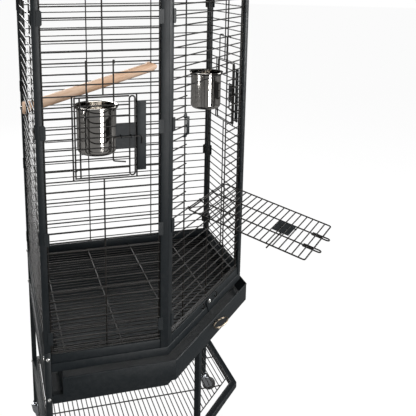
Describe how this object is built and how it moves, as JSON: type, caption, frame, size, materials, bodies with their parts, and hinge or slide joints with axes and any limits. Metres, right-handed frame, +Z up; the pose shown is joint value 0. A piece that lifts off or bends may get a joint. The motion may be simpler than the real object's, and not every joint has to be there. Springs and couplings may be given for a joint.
{
  "type": "bird cage on stand",
  "caption": "Corner bird cage on a wheeled stand: five-sided wire walls, fold-down landing door, feeder doors with cups, perch, slide-out dirt tray and wire shelf",
  "frame": {"origin": "centre of the bounding box's footprint, on the floor", "axes": "+Z up; the slanted front with the landing door faces -Y and the back corner points +Y; X runs along the front, and X = 0 passes through the middle of the front and the back corner"},
  "size_m": [0.951, 1.0044, 1.8063],
  "materials": {
    "powder_coat": "dark charcoal hammertone powder coat",
    "wire": "black powder-coated wire",
    "steel": "polished stainless steel",
    "wood": "plain sanded beech",
    "fork_chrome": "bright zinc or chrome plate",
    "wheel_rubber": "dark rubber wheel"
  },
  "bodies": {
    "cage": {"cup_hanger_left": "wire", "cup_hanger_right": "wire", "grille_back_left": "wire", "grille_back_right": "wire", "grille_front": "wire", "grille_left_side": "wire", "grille_right_side": "wire", "landing_keeper": "powder_coat", "latch_keeper_left": "powder_coat", "latch_keeper_right": "powder_coat", "leg_back": "powder_coat", "leg_front": "powder_coat", "leg_left": "powder_coat", "leg_right": "powder_coat", "perch": "wood", "perch_cap_left": "wood", "perch_cap_right": "wood", "post_back": "powder_coat", "post_front_left": "powder_coat", "post_front_right": "powder_coat", "post_left": "powder_coat", "post_right": "powder_coat", "rail_back_left": "powder_coat", "rail_back_right": "powder_coat", "rail_front": "powder_coat", "rail_left_side": "powder_coat", "rail_right_side": "powder_coat", "roof_grille": "wire", "shelf_grille": "wire", "shelf_ring": "powder_coat", "stand_lower_ring": "powder_coat", "stand_upper_ring": "powder_coat", "top_ring": "powder_coat", "upright_back_left_a": "wire", "upright_back_left_b": "wire", "upright_back_right_a": "wire", "upright_back_right_b": "wire", "upright_front_left": "wire", "upright_front_middle": "wire", "upright_front_right": "wire"},
    "landing_door": {"landing_door": "wire"},
    "landing_latch": {"landing_latch": "wire"},
    "feeder_door_left": {"feeder_door_left": "wire"},
    "feeder_latch_left": {"feeder_latch_left": "wire"},
    "cup_left": {"cup_left": "steel"},
    "feeder_door_right": {"feeder_door_right": "wire"},
    "feeder_latch_right": {"feeder_latch_right": "wire"},
    "cup_right": {"cup_right": "steel"},
    "tray": {"tray": "powder_coat"},
    "ring_pull": {"ring_pull": "wire"},
    "turn_button": {"turn_button": "powder_coat"},
    "floor_grate": {"floor_grate": "wire"},
    "fork_left": {"caster_fork_left": "fork_chrome"},
    "wheel_left": {"caster_wheel_left": "wheel_rubber"},
    "fork_right": {"caster_fork_right": "fork_chrome"},
    "wheel_right": {"caster_wheel_right": "wheel_rubber"},
    "fork_back": {"caster_fork_back": "fork_chrome"},
    "wheel_back": {"caster_wheel_back": "wheel_rubber"},
    "fork_front": {"caster_fork_front": "fork_chrome"},
    "wheel_front": {"caster_wheel_front": "wheel_rubber"}
  },
  "joints": [
    {"name": "landing_door_hinge", "type": "hinge", "parent": "cage", "child": "landing_door", "pos_m": [-0.01259, -0.1706, 0.9705], "axis": [-1, 0, 0], "range_deg": [0, 101.8]},
    {"name": "landing_latch_slide", "type": "slide", "parent": "landing_door", "child": "landing_latch", "axis": [-1, 0, 0], "range_m": [0, 0.0145]},
    {"name": "feeder_door_left_hinge", "type": "hinge", "parent": "cage", "child": "feeder_door_left", "pos_m": [-0.39106, -0.01464, 1.1955], "axis": [0, 0, -1], "range_deg": [0, 110]},
    {"name": "feeder_latch_left_turn", "type": "hinge", "parent": "feeder_door_left", "child": "feeder_latch_left", "pos_m": [-0.3112, -0.10454, 1.1955], "axis": [-0.7071, 0.7071, 0], "range_deg": [0, 100]},
    {"name": "cup_left_lift", "type": "slide", "parent": "cage", "child": "cup_left", "axis": [0, 0, 1], "range_m": [0, 0.13]},
    {"name": "feeder_door_right_hinge", "type": "hinge", "parent": "cage", "child": "feeder_door_right", "pos_m": [0.39106, -0.01464, 1.1955], "axis": [0, 0, 1], "range_deg": [0, 110]},
    {"name": "feeder_latch_right_turn", "type": "hinge", "parent": "feeder_door_right", "child": "feeder_latch_right", "pos_m": [0.3112, -0.10454, 1.1955], "axis": [-0.7071, -0.7071, 0], "range_deg": [0, 100]},
    {"name": "cup_right_lift", "type": "slide", "parent": "cage", "child": "cup_right", "axis": [0, 0, 1], "range_m": [0, 0.13]},
    {"name": "tray_slide", "type": "slide", "parent": "cage", "child": "tray", "axis": [0, -1, 0], "range_m": [-0.027, 0.42]},
    {"name": "ring_pull_hinge", "type": "hinge", "parent": "tray", "child": "ring_pull", "pos_m": [0, -0.20245, 0.589], "axis": [-1, 0, 0], "range_deg": [-95, 0]},
    {"name": "turn_button_pivot", "type": "hinge", "parent": "cage", "child": "turn_button", "pos_m": [0, -0.17815, 0.649], "axis": [0, -1, 0], "range_deg": [-90, 90]},
    {"name": "floor_grate_lift", "type": "slide", "parent": "cage", "child": "floor_grate", "axis": [0, 0, 1], "range_m": [0, 0.3]},
    {"name": "swivel_left", "type": "hinge", "parent": "cage", "child": "fork_left", "pos_m": [-0.44689, 0.04402, 0.0677], "axis": [0, 0, 1], "continuous": true},
    {"name": "wheel_spin_left", "type": "hinge", "parent": "fork_left", "child": "wheel_left", "pos_m": [-0.45822, 0.02516, 0.02479], "axis": [0.8572, -0.515, 0], "continuous": true},
    {"name": "swivel_right", "type": "hinge", "parent": "cage", "child": "fork_right", "pos_m": [0.44689, 0.04402, 0.0677], "axis": [0, 0, 1], "continuous": true},
    {"name": "wheel_spin_right", "type": "hinge", "parent": "fork_right", "child": "wheel_right", "pos_m": [0.45822, 0.02516, 0.02479], "axis": [0.8572, 0.515, 0], "continuous": true},
    {"name": "swivel_back", "type": "hinge", "parent": "cage", "child": "fork_back", "pos_m": [0, 0.49091, 0.0677], "axis": [0, 0, 1], "continuous": true},
    {"name": "wheel_spin_back", "type": "hinge", "parent": "fork_back", "child": "wheel_back", "pos_m": [0, 0.46891, 0.02479], "axis": [1, 0, 0], "continuous": true},
    {"name": "swivel_front", "type": "hinge", "parent": "cage", "child": "fork_front", "pos_m": [0, -0.148, 0.0677], "axis": [0, 0, 1], "continuous": true},
    {"name": "wheel_spin_front", "type": "hinge", "parent": "fork_front", "child": "wheel_front", "pos_m": [0, -0.17, 0.02479], "axis": [1, 0, 0], "continuous": true}
  ]
}
